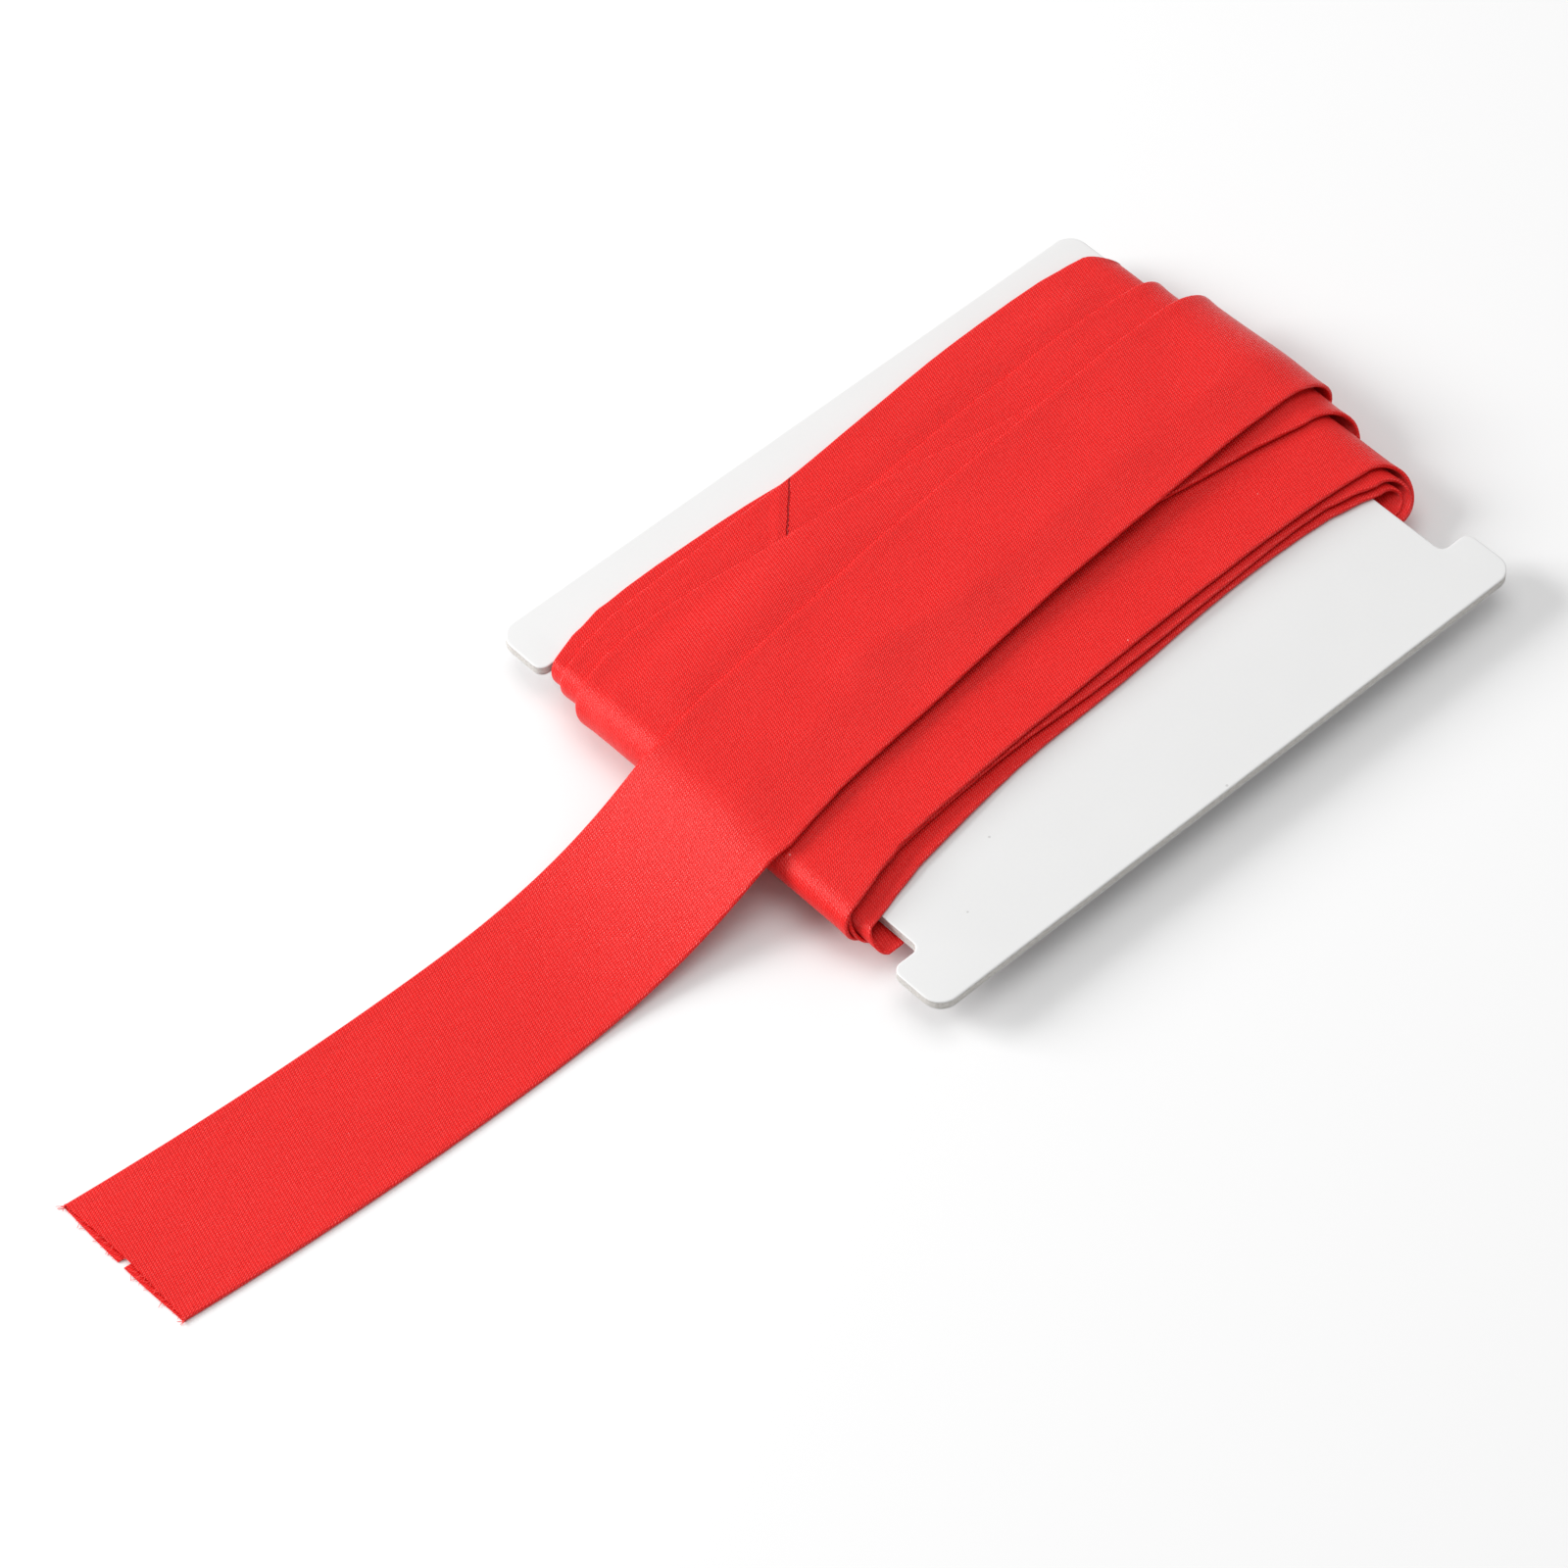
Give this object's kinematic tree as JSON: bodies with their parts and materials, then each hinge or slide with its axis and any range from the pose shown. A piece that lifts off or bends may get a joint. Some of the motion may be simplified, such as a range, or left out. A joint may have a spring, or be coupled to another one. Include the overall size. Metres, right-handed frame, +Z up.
{
  "type": "bias binding tape on winding card",
  "caption": "Folded satin bias binding tape wound flat round a notched white card, with a loose tail that drops to the table and lifts.",
  "frame": {"origin": "middle of the whole object's footprint, on the table it rests on", "axes": "+X from the tail's cut end towards the card's far end, along the winding; +Y across the card; +Z up, away from the table"},
  "size_m": [0.1776, 0.072, 0.0088],
  "materials": {
    "red_satin": "satin weave, soft sheen",
    "grey_board": "raw cut grey board",
    "white_paper": "smooth coated paper",
    "dark_red_thread": "fine sewing thread"
  },
  "bodies": {
    "winding": {"card_core": "grey_board", "card_top_liner": "white_paper", "card_back_liner": "white_paper", "join_seam_thread": "dark_red_thread", "tape_turn_1": "red_satin", "tape_turn_2": "red_satin", "tape_turn_3": "red_satin", "tape_turn_4": "red_satin", "tape_turn_5": "red_satin", "tape_turn_6": "red_satin", "tape_turn_7": "red_satin", "tape_turn_8": "red_satin"},
    "tail": {"tail": "red_satin"},
    "tail_end": {"tail_end": "red_satin"}
  },
  "joints": [
    {"name": "tail_lift", "type": "hinge", "parent": "winding", "child": "tail", "pos_m": [-0.00626, 0, 0.00796], "axis": [0, 1, 0], "range_deg": [0, 90]},
    {"name": "tail_end_lift", "type": "hinge", "parent": "tail", "child": "tail_end", "pos_m": [-0.0463, -0.00117, 0.0003], "axis": [0, 1, 0], "range_deg": [0, 75]}
  ]
}
